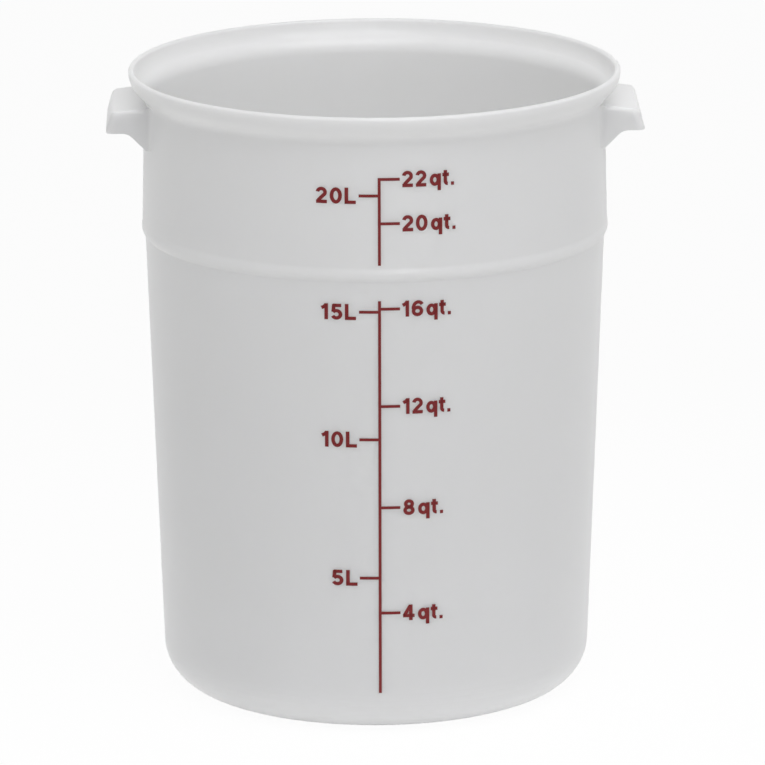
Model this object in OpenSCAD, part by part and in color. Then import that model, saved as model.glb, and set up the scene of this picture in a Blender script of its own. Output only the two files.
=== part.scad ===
// Round dough proofing tub: one moulding with a tapered body, a wider collar, a flared lip
// and two hooded handles, and a volume scale printed on its front wall.
// The tub stands on z = 0 with its axis on Z. The scale faces -Y and the handles lie along X.
// All sizes are in millimetres.

/* [Tub] */
// Overall height, from the table to the top of the lip
height = 392; // [370:1:430]
// Outside radius of the body just under the shoulder
body_r = 142.5; // [130:0.5:155]
// How much the body's radius narrows from the shoulder down to the table
body_taper = 10.5; // [4:0.5:16]
// Thickness of the wall
wall = 3; // [2.2:0.1:4]
// Thickness of the floor
floor_t = 3.2; // [2.4:0.1:5]
// Outside radius of the rounding between the floor and the body
base_round = 27.8; // [20:0.2:32]
// Height of the shallow hollow under the floor
foot_recess = 1.2; // [0.6:0.1:2]
// Width of the flat ring that the tub stands on
foot_w = 9; // [5:0.5:14]

/* [Shoulder and collar] */
// Height of the shoulder's lower edge
shoulder_z = 288; // [280:1:305]
// How far the collar's foot stands out from the body
shoulder_step = 1.7; // [1:0.1:3]
// Height of the shoulder's rounded underside
shoulder_h = 5.5; // [4:0.1:8]
// How far the bead on the collar's foot stands out from the collar
bead_out = 0.5; // [0.2:0.1:1]
// Height over which that bead fades into the collar
bead_h = 5; // [3.5:0.1:6]
// How much the collar's radius draws in from its foot up to the lip
collar_draw = 1.5; // [0:0.1:2.5]

/* [Lip] */
// How far the lip flares out beyond the collar
lip_flare = 9.5; // [7:0.1:12]
// Height of the flare
lip_h = 20; // [17:0.5:24]
// Thickness of the lip at its rounded crown
lip_t = 3.6; // [3:0.1:4.5]

/* [Handles] */
// How far the handles reach out from the collar
handle_reach = 23.5; // [19:0.5:30]
// Length of each handle along the wall
handle_l = 72; // [56:1:90]
// How far the top of the handles lies below the top of the lip
handle_drop = 18.1; // [17:0.1:24]
// Height of the handles at the wall
handle_h = 15.6; // [13:0.1:22]
// How far the top of the handles falls from the wall to the outer edge
handle_fall = 2.5; // [1:0.1:4]
// How far the outer face leans out from its top to its bottom
handle_lean = 3.8; // [2:0.1:6]
// Thickness of the hood that forms the handle
handle_wall = 2.8; // [2:0.1:3.4]
// Rounding of the hood's top edges
handle_round = 3.2; // [2:0.1:4]
// Rounding of the hood's upright corners
handle_corner = 5; // [3:0.5:8]
// Fillet between the hood's ends and the collar
root_fillet = 5; // [3:0.5:8]
// How far the hood's ends run down the collar below its open edge
root_drop = 11; // [8:0.5:16]

/* [Printed scale] */
// Thickness of the ink
ink_t = 0.15; // [0.1:0.05:0.3]
// Width of the upright line
stem_w = 1.8; // [1:0.1:3]
// Height of the short marks
mark_h = 1.8; // [1:0.1:3]
// Length of the short marks, from the middle of the upright line
mark_l = 12.4; // [8:0.1:20]
// Heights of the quart marks on the body
body_quart_z = [79.2, 146.5, 210.7, 272]; // [30:0.1:275]
// Heights of the litre marks on the body
body_litre_z = [101.6, 189.7, 270.1]; // [30:0.1:275]
// Heights of the quart marks on the collar
collar_quart_z = [325.3, 352.5]; // [302:0.1:370]
// Heights of the litre marks on the collar
collar_litre_z = [342.4]; // [302:0.1:370]
// Bare wall left between the print and the roundings below it
print_clear = 1; // [0.5:0.1:4]
// Bare wall left between the lower print and the shoulder
print_head_gap = 11; // [6:0.5:16]

/* [Hidden] */

$fn = 180;
// Straight pieces in each rounding of an outline
arc_n = 10;
// Length by which a cutter runs past what it cuts
past = 20;

// Body: its wall follows radius = base_r + slope * z
base_r = body_r - body_taper;
slope = body_taper / shoulder_z;
tilt = atan(slope);
floor_z = foot_recess + floor_t;

// Collar
collar_foot_r = body_r + shoulder_step;
collar_neck_r = collar_foot_r - collar_draw;
shoulder_top_z = shoulder_z + shoulder_h;
collar_foot_z = shoulder_top_z + bead_h;
collar_neck_z = height - lip_h;
// The inside of the shoulder lies higher than its outside, so that the wall keeps its thickness
ledge_rise = wall * (shoulder_step + bead_out) / shoulder_h;

// Lip
lip_r = collar_neck_r + lip_flare;
crown_r = lip_t / 2;
crown_z = height - crown_r;

// Handles
handle_x = collar_neck_r + handle_reach;
handle_top_z = height - handle_drop;
handle_edge_z = handle_top_z - handle_fall;
handle_foot_z = handle_top_z - handle_h;
lean_angle = atan(handle_lean / (handle_edge_z - handle_foot_z));
// The hood is joined to the wall down to the middle of the wall's thickness
root_r = collar_neck_r - wall / 2;

// Outside radius of the body and of the collar at a height
function body_at(z) = base_r + slope * z;
function collar_at(z) = collar_foot_r
    - collar_draw * (z - collar_foot_z) / (collar_neck_z - collar_foot_z);

// Points of an arc about c, from angle a0 to angle a1
function arc(c, r, a0, a1) = [
    for (i = [0:arc_n]) let (a = a0 + (a1 - a0) * i / arc_n) c + r * [cos(a), sin(a)]
];

// An S-shaped sweep from point a up to point b, upright at both ends.
// The lower of its two arcs takes the given share of the sum of their radii.
function sweep(a, b, share) =
    let (
        side = b.x < a.x ? -1 : 1,
        turn = 2 * atan(abs(b.x - a.x) / (b.y - a.y)),
        radii = (b.y - a.y) / sin(turn),
        low = radii * share,
        high = radii - low
    ) [
        for (i = [0:arc_n]) let (t = turn * i / arc_n)
            a + low * [side * (1 - cos(t)), sin(t)],
        for (i = [1:arc_n]) let (t = turn * (1 - i / arc_n))
            b - high * [side * (1 - cos(t)), sin(t)]
    ];

// The same points in the opposite order
function reversed(points) = [for (i = [len(points) - 1:-1:0]) points[i]];

// Centre of a rounding of radius r between a floor at height z and a wall that starts at wall_r
function corner_centre(wall_r, z, r) = [wall_r + slope * (z + r) - r / cos(tilt), z + r];

// An outline with each corner rounded by its own radius
function unit(v) = v / norm(v);
function corner(p0, p, p1, r) =
    r == 0 ? [p] :
    let (
        u = unit(p0 - p),
        v = unit(p1 - p),
        half = acos(u * v) / 2,
        c = p + unit(u + v) * r / sin(half),
        s = p + u * r / tan(half) - c,
        e = p + v * r / tan(half) - c,
        a0 = atan2(s.y, s.x),
        turn = (atan2(e.y, e.x) - a0 + 540) % 360 - 180
    ) arc(c, r, a0, a0 + turn);
function rounded(points, radii) = [
    for (i = [0:len(points) - 1])
        each corner(
            points[(i + len(points) - 1) % len(points)],
            points[i],
            points[(i + 1) % len(points)],
            radii[i]
        )
];

// Outer and inner halves of the tub's section, each from the axis up to the crown
outer_corner = corner_centre(base_r, 0, base_round);
inner_corner = corner_centre(base_r - wall, floor_z, base_round - wall);
outer_line = concat(
    [
        [0, foot_recess],
        [outer_corner.x - foot_w - foot_recess, foot_recess],
        [outer_corner.x - foot_w, 0]
    ],
    arc(outer_corner, base_round, -90, -tilt),
    sweep([body_r, shoulder_z], [collar_foot_r + bead_out, shoulder_top_z], 0.22),
    sweep([collar_foot_r + bead_out, shoulder_top_z], [collar_foot_r, collar_foot_z], 0.5),
    sweep([collar_neck_r, collar_neck_z], [lip_r, crown_z], 0.35)
);
inner_line = concat(
    [[0, floor_z]],
    arc(inner_corner, base_round - wall, -90, -tilt),
    sweep(
        [body_at(shoulder_z + ledge_rise) - wall, shoulder_z + ledge_rise],
        [collar_foot_r - wall, shoulder_top_z + ledge_rise],
        0.5
    ),
    sweep([collar_neck_r - wall, collar_neck_z], [lip_r - lip_t, crown_z], 0.5)
);

module tub_shell() {
    rotate_extrude()
        polygon(concat(
            outer_line,
            arc([lip_r - crown_r, crown_z], crown_r, 0, 180),
            reversed(inner_line)
        ));
}

// Side view of a handle's hood, drawn in from its outer faces by inset
module hood_side(inset) {
    top_inset = inset / cos(atan(handle_fall / handle_reach));
    edge_inset = inset / cos(lean_angle);
    mouth = inset > 0 ? past : 0;
    foot_shift = handle_lean * mouth / (handle_edge_z - handle_foot_z);
    polygon(rounded(
        [
            [0, handle_top_z - top_inset],
            [collar_neck_r, handle_top_z - top_inset],
            [handle_x - handle_lean - edge_inset, handle_edge_z - top_inset],
            [handle_x - edge_inset + foot_shift, handle_foot_z - mouth],
            [root_r + root_drop, handle_foot_z - mouth],
            [root_r, handle_foot_z - root_drop - mouth],
            [0, handle_foot_z - root_drop - mouth]
        ],
        [0, 0, handle_round - inset / 2, inset > 0 ? 0 : 1, inset > 0 ? 0 : root_drop * 0.8, 0, 0]
    ));
}

// A slab with the side view above, over the given length of wall
module hood_slab(length, inset) {
    translate([0, length / 2, 0])
        rotate([90, 0, 0])
            linear_extrude(length)
                hood_side(inset);
}

// A prism that leans like the outer face, with the hood's two upright corners rounded
module hood_prism(inset) {
    half = handle_l / 2 - inset;
    face = inset / cos(lean_angle);
    translate([handle_x - face, 0, handle_foot_z])
        rotate([0, -lean_angle, 0])
            translate([0, 0, -2 * past])
                linear_extrude(4 * past)
                    polygon(rounded(
                        [[0, -half], [0, half], [-2 * handle_reach, half], [-2 * handle_reach, -half]],
                        [handle_corner - inset, handle_corner - inset, 0, 0]
                    ));
}

// End view of the hood, with its top edges rounded, as a slab across the wall
module hood_ends() {
    half = handle_l / 2;
    low = handle_foot_z - root_drop;
    rotate([90, 0, 90])
        linear_extrude(handle_x + past)
            polygon(rounded(
                [
                    [-half, low],
                    [half, low],
                    [half, handle_top_z],
                    [-half, handle_top_z]
                ],
                [0, 0, handle_round, handle_round]
            ));
}

// Fillets in plan between the hood's two ends and the collar
module hood_roots() {
    reach = sqrt(pow(collar_neck_r + root_fillet, 2) - pow(handle_l / 2 + root_fillet, 2));
    centre = [reach, handle_l / 2 + root_fillet];
    touch = centre * root_r / norm(centre);
    intersection() {
        hood_slab(handle_l + 4 * root_fillet, 0);
        for (side = [0, 1])
            mirror([0, side, 0])
                linear_extrude(height)
                    difference() {
                        polygon([
                            [root_r * 0.9, handle_l / 2 - handle_wall / 2],
                            [reach, handle_l / 2 - handle_wall / 2],
                            [reach, centre.y],
                            touch
                        ]);
                        translate(centre)
                            circle(root_fillet);
                    }
    }
}

module handle() {
    difference() {
        union() {
            intersection() {
                hood_slab(handle_l, 0);
                hood_prism(0);
                hood_ends();
            }
            hood_roots();
        }
        intersection() {
            hood_slab(handle_l - 2 * handle_wall, handle_wall);
            hood_prism(handle_wall);
        }
        translate([0, 0, handle_foot_z - 2 * past])
            cylinder(h = height, r = root_r);
    }
}

module tub() {
    color([0.9, 0.91, 0.9]) {
        tub_shell();
        handle();
        mirror([1, 0, 0])
            handle();
    }
}

// A film of ink on the cone from [radius, height] point a up to point b, kept where children are
module print_on_cone(a, b) {
    color([0.5, 0.1, 0.12])
        intersection() {
            rotate_extrude()
                polygon([a, a + [ink_t, 0], b + [ink_t, 0], b]);
            union()
                children();
        }
}

// The upright line of a scale, facing -Y
module stem(z_low, z_high) {
    translate([-stem_w / 2, -lip_r, z_low])
        cube([stem_w, lip_r, z_high - z_low]);
}

// Short marks at the listed heights: side is 1 for those on the right, -1 on the left
module marks(heights, side) {
    for (z = heights)
        translate([side > 0 ? 0 : -mark_l, -lip_r, z - mark_h / 2])
            cube([mark_l, lip_r, mark_h]);
}

module collar_scale_print() {
    low = collar_foot_z;
    high = collar_neck_z;
    print_on_cone([collar_at(low), low], [collar_at(high), high]) {
        stem(low + print_clear, max(collar_quart_z) + mark_h / 2);
        marks(collar_quart_z, 1);
        marks(collar_litre_z, -1);
    }
}

module body_scale_print() {
    low = base_round * (1 - sin(tilt));
    high = shoulder_z;
    print_on_cone([body_at(low), low], [body_at(high), high]) {
        stem(low + print_clear, high - print_head_gap);
        marks(body_quart_z, 1);
        marks(body_litre_z, -1);
    }
}

tub();
collar_scale_print();
body_scale_print();
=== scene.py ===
"""Looks of a round dough proofing tub: its plastic, the lettering of its scale, light and camera.

Lengths are in metres unless a comment says otherwise, in the row frame: the tub stands on z = 0,
its scale faces -Y and its handles lie along X. The CAD nodes are shown as they are, under new
materials. The only pieces built here are the labels of the printed scale.
"""
import math

import bmesh
import bpy
from mathutils import Matrix, Vector


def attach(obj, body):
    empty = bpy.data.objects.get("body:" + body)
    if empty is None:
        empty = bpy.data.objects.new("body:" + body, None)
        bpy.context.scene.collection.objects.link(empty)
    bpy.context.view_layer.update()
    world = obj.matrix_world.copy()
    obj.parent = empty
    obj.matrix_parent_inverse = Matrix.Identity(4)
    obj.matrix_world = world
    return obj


MM = 0.001

# The tub's two printed walls, which are cones, as in the CAD source
BASE_R = 132 * MM            # outside radius of the body at the table
BODY_R = 142.5 * MM          # outside radius of the body at the shoulder
SHOULDER_Z = 288 * MM
COLLAR_FOOT_R = 144.2 * MM
COLLAR_NECK_R = 142.7 * MM
COLLAR_FOOT_Z = 298.5 * MM
COLLAR_NECK_Z = 372 * MM

# Labels, in mm: text, height of its mark, left and right edge measured from the upright line
QUART_LABELS = [
    ("22qt.", 352.5, 13.8, 46.0),
    ("20qt.", 325.3, 13.8, 46.9),
    ("16qt.", 272.0, 13.7, 44.0),
    ("12qt.", 210.7, 14.0, 43.7),
    ("8qt.", 146.5, 14.2, 39.1),
    ("4qt.", 79.2, 13.9, 38.8),
]
LITRE_LABELS = [
    ("20L", 342.4, -38.6, -14.1),
    ("15L", 270.1, -35.7, -14.2),
    ("10L", 189.7, -35.7, -13.9),
    ("5L", 101.6, -29.8, -13.8),
]
CAP_HEIGHT = 10 * MM
INK_T = 0.15 * MM            # how far the ink stands out from the wall
INK_BED = 0.05 * MM          # how far it reaches into the wall
LETTER_STRIP = 1.5 * MM      # width of the strips that a label is cut into before it is bent

# Camera, fitted to the tub's outline in the photograph
IMAGE_PX = 765               # width of the photograph
FOCAL_PX = 7505.5            # focal length, in pixels of the photograph
SENSOR = 36.0                # width of the camera's sensor, in mm
CAMERA_R = 4.5464            # distance from the tub's axis
CAMERA_Z = 1.3417
CAMERA_CLIP = (0.1, 50)
PITCH_DOWN = math.radians(14.2103)
AZIMUTH = math.radians(1.07)     # where the camera stands, from -Y towards -X
YAW = math.radians(0.0563)       # how far it looks to the right of the tub's axis
ROLL = math.radians(-0.1678)     # positive lifts its right side

# Noise of the materials: waves per metre, octaves of detail and, for the streaks, a stretch
STREAKS = (7, 1, (1, 1, 0.3))    # flow streaks in the plastic, drawn out along Z
GLOSS = (14, 1)                  # changes in the plastic's gloss
GRAIN = (900, 2)                 # texture of the mould
COVER = (420, 4)                 # how well the ink covers
SCREEN = (1800, 1)               # marks of the printing screen
NOISE_MIDDLE = (0.3, 0.7)        # noise is seldom outside these values

# Plastic
PLASTIC_DARK = (0.873, 0.876, 0.873)
PLASTIC_LIGHT = (0.883, 0.886, 0.883)
PLASTIC_ROUGHNESS = (0.29, 0.32)
PLASTIC_IOR = 1.5
LIGHT_REACH = 0.02               # how far light spreads inside the plastic
REACH_BY_COLOUR = (1.0, 1.0, 0.95)    # share of that reach for red, green and blue
GRAIN_DEPTH = 0.00005
GRAIN_STRENGTH = 0.03

# Ink
INK_DARK = (0.165, 0.008, 0.009)
INK_LIGHT = (0.20, 0.014, 0.015)
INK_ROUGHNESS = (0.42, 0.55)
INK_SPECULAR = 0.3
SCREEN_DEPTH = 0.0001
SCREEN_STRENGTH = 0.2

# Studio
WORLD_LIGHT = 0.535              # strength of the even light from all round
WHITE = (1, 1, 1, 1)
FLOOR_HALF = 6.0
# Painted pool of light: the floor's matte colour is paler near the tub, so that it bounces more
# light onto the tub's lower wall
FLOOR_FADE = (0.25, 0.8)         # radii between which the floor goes from its near to its far tone
FLOOR_NEAR_PAINTED_LIGHT = (0.98, 0.98, 0.98)
FLOOR_FAR = (0.52, 0.52, 0.52)
FLOOR_WHITE = 0.955              # share of plain white in the floor as seen; the rest takes shadows
# Softboxes: name, place, width, height, power in watts
SOFTBOXES = [
    ("top_softbox", (0.4, -1.1, 2.4), 2.2, 2.2, 31),
    ("front_softbox", (1.2, -6.0, 0.8), 2.4, 1.0, 34),
]
SOFTBOX_AIM = (0, 0, 0.2)


def arc(x, y, rx, ry, start, end, steps=20):
    """Points of an elliptical arc about (x, y), from angle start to angle end in degrees."""
    turns = [math.radians(start + (end - start) * i / steps) for i in range(steps + 1)]
    return [(x + rx * math.cos(turn), y + ry * math.sin(turn)) for turn in turns]


def ring(x, y, rx, ry):
    return arc(x, y, rx, ry, 0, 360)


# Glyphs: width, then the centrelines of the strokes, in mm from the left end of the baseline
GLYPHS = {
    "0": (7.0, [ring(3.5, 5, 2.45, 3.95)]),
    "1": (4.2, [[(0.3, 7.2), (1.9, 8.0), (2.9, 9.2)], [(3.1, 0), (3.1, 10)]]),
    "2": (6.6, [
        arc(3.25, 6.75, 2.2, 2.2, 172, -32) + [(3.2, 3.7), (1.4, 1.7)],
        [(0.2, 1.05), (6.5, 1.05)],
    ]),
    "4": (7.0, [[(4.5, 9.6), (0.9, 3.1)], [(0.1, 3.0), (7.0, 3.0)], [(4.75, 0), (4.75, 10)]]),
    "5": (6.7, [
        [(1.3, 8.95), (6.1, 8.95)],
        [(1.85, 9.6), (1.45, 4.9)],
        arc(3.3, 3.35, 2.35, 2.3, 145, -155),
    ]),
    "6": (6.9, [ring(3.5, 3.3, 2.4, 2.25), arc(4.0, 5.2, 2.95, 3.75, 190, 38)]),
    "8": (6.8, [ring(3.4, 7.1, 1.95, 1.85), ring(3.4, 3.05, 2.3, 2.0)]),
    "L": (6.4, [[(1.05, 0), (1.05, 10)], [(0.2, 1.05), (6.4, 1.05)]]),
    "q": (6.9, [ring(3.15, 3.75, 2.1, 2.7), [(5.85, 7.5), (5.85, -2.8)]]),
    "t": (4.3, [
        [(1.95, 9.3), (1.95, 2.6)] + arc(3.35, 2.45, 1.4, 1.4, 180, 275, steps=8),
        [(0.1, 6.6), (4.2, 6.6)],
    ]),
    ".": (1.9, [[(0, 0.95), (1.9, 0.95)]]),
}
STROKE = 2.1                 # width of every stroke, in mm
GAP = 1.5                    # space before a glyph, in mm, apart from those in GAP_BEFORE
GAP_BEFORE = {"q": 2.0, "t": 0.8, ".": 1.2}
SAME_POINT = 1e-5            # points nearer to each other than this, in mm, are one
MITRE_LIMIT = 0.5            # a corner reaches out to STROKE / 2 / this at most


class Nodes:
    """Builds the node tree of a material or of the world."""

    def __init__(self, owner):
        owner.use_nodes = True
        self.tree = owner.node_tree
        self.tree.nodes.clear()

    def add(self, kind, links=None, **settings):
        """A node of that kind.

        links maps an input's name or number to an output socket or to a constant. A name stands
        for the first input that has it.
        """
        node = self.tree.nodes.new(kind)
        for name, value in settings.items():
            setattr(node, name, value)
        for name, value in (links or {}).items():
            if isinstance(value, bpy.types.NodeSocket):
                self.tree.links.new(value, node.inputs[name])
            else:
                node.inputs[name].default_value = value
        return node

    def noise(self, scale, detail, stretch=(1, 1, 1)):
        """Noise over the object's own coordinates."""
        place = self.add("ShaderNodeTexCoord").outputs["Object"]
        mapped = self.add("ShaderNodeMapping", {"Vector": place, "Scale": stretch})
        noise = self.add(
            "ShaderNodeTexNoise",
            {"Vector": mapped.outputs["Vector"], "Scale": scale, "Detail": detail},
        )
        return noise.outputs["Fac"]

    def remap(self, value, source, target):
        """value, with the range source mapped to the range target."""
        ranged = self.add("ShaderNodeMapRange", {
            "Value": value,
            "From Min": source[0],
            "From Max": source[1],
            "To Min": target[0],
            "To Max": target[1],
        })
        return ranged.outputs["Result"]

    def tint(self, share, first, second):
        """The first colour, with that share of it taken over by the second."""
        mix = self.add("ShaderNodeMix", {"Factor": share}, data_type="RGBA")
        ends = [socket for socket in mix.inputs if socket.type == "RGBA"]
        for socket, colour in zip(ends, (first, second)):
            socket.default_value = (*colour, 1)
        return next(socket for socket in mix.outputs if socket.type == "RGBA")

    def mix(self, share, first, second):
        """The first shader, with that share of it taken over by the second."""
        links = {0: share, 1: first.outputs[0], 2: second.outputs[0]}
        return self.add("ShaderNodeMixShader", links)

    def bump(self, height, distance, strength):
        links = {"Height": height, "Distance": distance, "Strength": strength}
        return self.add("ShaderNodeBump", links).outputs["Normal"]

    def white_rays(self):
        """1 for the rays that see a white background: camera, glossy and transmission rays."""
        path = self.add("ShaderNodeLightPath")
        total = path.outputs["Is Camera Ray"]
        for name in ("Is Glossy Ray", "Is Transmission Ray"):
            links = {0: total, 1: path.outputs[name]}
            total = self.add("ShaderNodeMath", links, operation="MAXIMUM").outputs[0]
        return total

    def end(self, kind, shader):
        self.add(kind, {"Surface": shader.outputs[0]})


def plastic_material():
    """Satin natural polyethylene that lets some light through, with faint streaks and a grain."""
    material = bpy.data.materials.new("tub_plastic")
    nodes = Nodes(material)
    streaks = nodes.remap(nodes.noise(*STREAKS), NOISE_MIDDLE, (0, 1))
    gloss = nodes.noise(*GLOSS)
    grain = nodes.noise(*GRAIN)
    shader = nodes.add("ShaderNodeBsdfPrincipled", {
        "Base Color": nodes.tint(streaks, PLASTIC_DARK, PLASTIC_LIGHT),
        "Roughness": nodes.remap(gloss, NOISE_MIDDLE, PLASTIC_ROUGHNESS),
        "IOR": PLASTIC_IOR,
        "Subsurface Weight": 1.0,
        "Subsurface Radius": REACH_BY_COLOUR,
        "Subsurface Scale": LIGHT_REACH,
        "Normal": nodes.bump(grain, GRAIN_DEPTH, GRAIN_STRENGTH),
    })
    nodes.end("ShaderNodeOutputMaterial", shader)
    return material


def ink_material():
    """Dark red screen-printed ink, a little uneven in cover and gloss."""
    material = bpy.data.materials.new("scale_ink")
    nodes = Nodes(material)
    cover = nodes.noise(*COVER)
    screen = nodes.noise(*SCREEN)
    shader = nodes.add("ShaderNodeBsdfPrincipled", {
        "Base Color": nodes.tint(nodes.remap(cover, NOISE_MIDDLE, (0, 1)), INK_DARK, INK_LIGHT),
        "Roughness": nodes.remap(cover, NOISE_MIDDLE, INK_ROUGHNESS),
        "Specular IOR Level": INK_SPECULAR,
        "Normal": nodes.bump(screen, SCREEN_DEPTH, SCREEN_STRENGTH),
    })
    nodes.end("ShaderNodeOutputMaterial", shader)
    return material


def dress_cad_nodes(frame, plastic, ink):
    for node, slot, material in (
        ("tub", "tub_plastic", plastic),
        ("collar_scale_print", "scale_ink", ink),
        ("body_scale_print", "scale_ink", ink),
    ):
        shown = frame["nodes"][node]
        shown.data.materials.clear()
        shown.data.materials.append(material)


def wall_r(z):
    """Outside radius of the printed wall at height z."""
    if z < SHOULDER_Z:
        return BASE_R + (BODY_R - BASE_R) * z / SHOULDER_Z
    share = (z - COLLAR_FOOT_Z) / (COLLAR_NECK_Z - COLLAR_FOOT_Z)
    return COLLAR_FOOT_R + (COLLAR_NECK_R - COLLAR_FOOT_R) * share


def band(path):
    """Left and right edge of a stroke along path, mitred at its bends."""
    closed = math.dist(path[0], path[-1]) < SAME_POINT
    before = [path[-2] if closed else path[0]] + path[:-1]
    after = path[1:] + [path[1] if closed else path[-1]]
    sides = []
    for previous, (x, y), following in zip(before, path, after):
        normals = []
        for (ax, ay), (bx, by) in ((previous, (x, y)), ((x, y), following)):
            length = math.hypot(bx - ax, by - ay)
            if length > 0:
                normals.append(Vector((ay - by, bx - ax)) / length)
        mean = (normals[0] + normals[-1]).normalized()
        reach = mean * (STROKE / 2 / max(mean.dot(normals[0]), MITRE_LIMIT))
        sides.append(((x + reach.x, y + reach.y), (x - reach.x, y - reach.y)))
    return sides


def flat_label(text):
    """The text's strokes as flat quads in a bmesh, in mm, and the text's width."""
    bm = bmesh.new()
    pen = 0.0
    for i, char in enumerate(text):
        width, strokes = GLYPHS[char]
        pen += GAP_BEFORE.get(char, GAP) if i else 0
        for path in strokes:
            rows = [[bm.verts.new((pen + x, y, 0)) for x, y in row] for row in band(path)]
            for (a, b), (c, d) in zip(rows, rows[1:]):
                bm.faces.new((a, b, d, c))
        pen += width
    bmesh.ops.remove_doubles(bm, verts=bm.verts, dist=SAME_POINT)
    return bm, pen


def cut_in_strips(bm, left, right):
    """Cuts the flat label across, so that it can follow the curve of the wall."""
    for i in range(1, int((right - left) / LETTER_STRIP) + 1):
        bmesh.ops.bisect_plane(
            bm,
            geom=bm.verts[:] + bm.edges[:] + bm.faces[:],
            plane_co=(left + i * LETTER_STRIP, 0, 0),
            plane_no=(1, 0, 0),
        )


def build_label(text, mark_z, left, right, ink):
    """The text as a film of ink round the wall, from left to right along it, beside its mark."""
    bm, width = flat_label(text)
    for vert in bm.verts:
        vert.co.x = left + vert.co.x / width * (right - left)
        vert.co.y *= MM
    cut_in_strips(bm, left, right)
    raised = bmesh.ops.extrude_face_region(bm, geom=list(bm.faces), use_keep_orig=True)["geom"]
    outer = {part for part in raised if isinstance(part, bmesh.types.BMVert)}
    for vert in bm.verts:
        z = mark_z - CAP_HEIGHT / 2 + vert.co.y
        r = wall_r(z)
        angle = vert.co.x / r
        r += INK_T if vert in outer else -INK_BED
        vert.co = (r * math.sin(angle), -r * math.cos(angle), z)
    bmesh.ops.recalc_face_normals(bm, faces=bm.faces)
    name = "label_" + text.strip(".")
    mesh = bpy.data.meshes.new(name)
    bm.to_mesh(mesh)
    bm.free()
    mesh.materials.append(ink)
    piece = bpy.data.objects.new(name, mesh)
    bpy.context.scene.collection.objects.link(piece)
    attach(piece, "root")


def build_world():
    """Even light from all round, and a white background."""
    world = bpy.data.worlds.new("studio")
    bpy.context.scene.world = world
    nodes = Nodes(world)
    light = nodes.add("ShaderNodeBackground", {"Color": WHITE, "Strength": WORLD_LIGHT})
    white = nodes.add("ShaderNodeBackground", {"Color": WHITE, "Strength": 1.0})
    nodes.end("ShaderNodeOutputWorld", nodes.mix(nodes.white_rays(), light, white))


def floor_material():
    """White where it is seen, with a light shadow, and painted paler near the tub: a painted pool of
    light that bounces more light onto the tub.
    """
    material = bpy.data.materials.new("floor")
    nodes = Nodes(material)
    place = nodes.add("ShaderNodeNewGeometry").outputs["Position"]
    away = nodes.add("ShaderNodeVectorMath", {"Vector": place}, operation="LENGTH").outputs["Value"]
    # Painted pool of light: the floor's colour goes paler towards the tub
    painted_light_share = nodes.remap(away, FLOOR_FADE, (1, 0))
    matte = nodes.add("ShaderNodeBsdfDiffuse", {"Color": nodes.tint(painted_light_share, FLOOR_FAR, FLOOR_NEAR_PAINTED_LIGHT)})
    white = nodes.add("ShaderNodeEmission", {"Color": WHITE, "Strength": 1.0})
    links = {0: nodes.white_rays(), 1: FLOOR_WHITE}
    share = nodes.add("ShaderNodeMath", links, operation="MULTIPLY").outputs[0]
    nodes.end("ShaderNodeOutputMaterial", nodes.mix(share, matte, white))
    return material


def build_floor():
    corners = [(x * FLOOR_HALF, y * FLOOR_HALF, 0) for x, y in ((-1, -1), (1, -1), (1, 1), (-1, 1))]
    mesh = bpy.data.meshes.new("floor")
    mesh.from_pydata(corners, [], [(0, 1, 2, 3)])
    mesh.materials.append(floor_material())
    floor = bpy.data.objects.new("floor", mesh)
    bpy.context.scene.collection.objects.link(floor)


def place_softbox(name, place, width, height, power):
    data = bpy.data.lights.new(name, "AREA")
    data.shape = "RECTANGLE"
    data.size, data.size_y = width, height
    data.energy = power
    lamp = bpy.data.objects.new(name, data)
    lamp.location = place
    lamp.rotation_mode = "QUATERNION"
    lamp.rotation_quaternion = (Vector(SOFTBOX_AIM) - Vector(place)).to_track_quat("-Z", "Y")
    bpy.context.scene.collection.objects.link(lamp)


def place_camera():
    """A camera that sees the tub as the photograph does."""
    heading = AZIMUTH + YAW
    forward = Vector((
        math.sin(heading) * math.cos(PITCH_DOWN),
        math.cos(heading) * math.cos(PITCH_DOWN),
        -math.sin(PITCH_DOWN),
    ))
    right = Vector((math.cos(heading), -math.sin(heading), 0))
    up = right.cross(forward)
    across = right * math.cos(ROLL) + up * math.sin(ROLL)
    upright = up * math.cos(ROLL) - right * math.sin(ROLL)
    data = bpy.data.cameras.new("camera")
    data.sensor_width = SENSOR
    data.lens = FOCAL_PX / IMAGE_PX * SENSOR
    data.clip_start, data.clip_end = CAMERA_CLIP
    camera = bpy.data.objects.new("camera", data)
    turn = Matrix((across, upright, -forward)).transposed().to_4x4()
    place = Vector((-CAMERA_R * math.sin(AZIMUTH), -CAMERA_R * math.cos(AZIMUTH), CAMERA_Z))
    camera.matrix_world = Matrix.Translation(place) @ turn
    bpy.context.scene.collection.objects.link(camera)
    bpy.context.scene.camera = camera


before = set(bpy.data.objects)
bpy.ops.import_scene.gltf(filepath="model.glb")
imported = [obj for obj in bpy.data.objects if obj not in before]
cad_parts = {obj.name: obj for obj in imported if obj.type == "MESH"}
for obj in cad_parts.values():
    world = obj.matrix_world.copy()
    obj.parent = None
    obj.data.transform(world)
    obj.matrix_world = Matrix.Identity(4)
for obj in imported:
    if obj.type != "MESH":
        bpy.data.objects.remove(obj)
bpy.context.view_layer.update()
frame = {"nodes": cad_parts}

plastic = plastic_material()
ink = ink_material()
dress_cad_nodes(frame, plastic, ink)
for text, mark_z, left, right in QUART_LABELS + LITRE_LABELS:
    build_label(text, mark_z * MM, left * MM, right * MM, ink)

build_world()
build_floor()
for softbox in SOFTBOXES:
    place_softbox(*softbox)
place_camera()
bpy.context.scene.view_settings.view_transform = "Standard"
bpy.context.scene.cycles.use_denoising = True
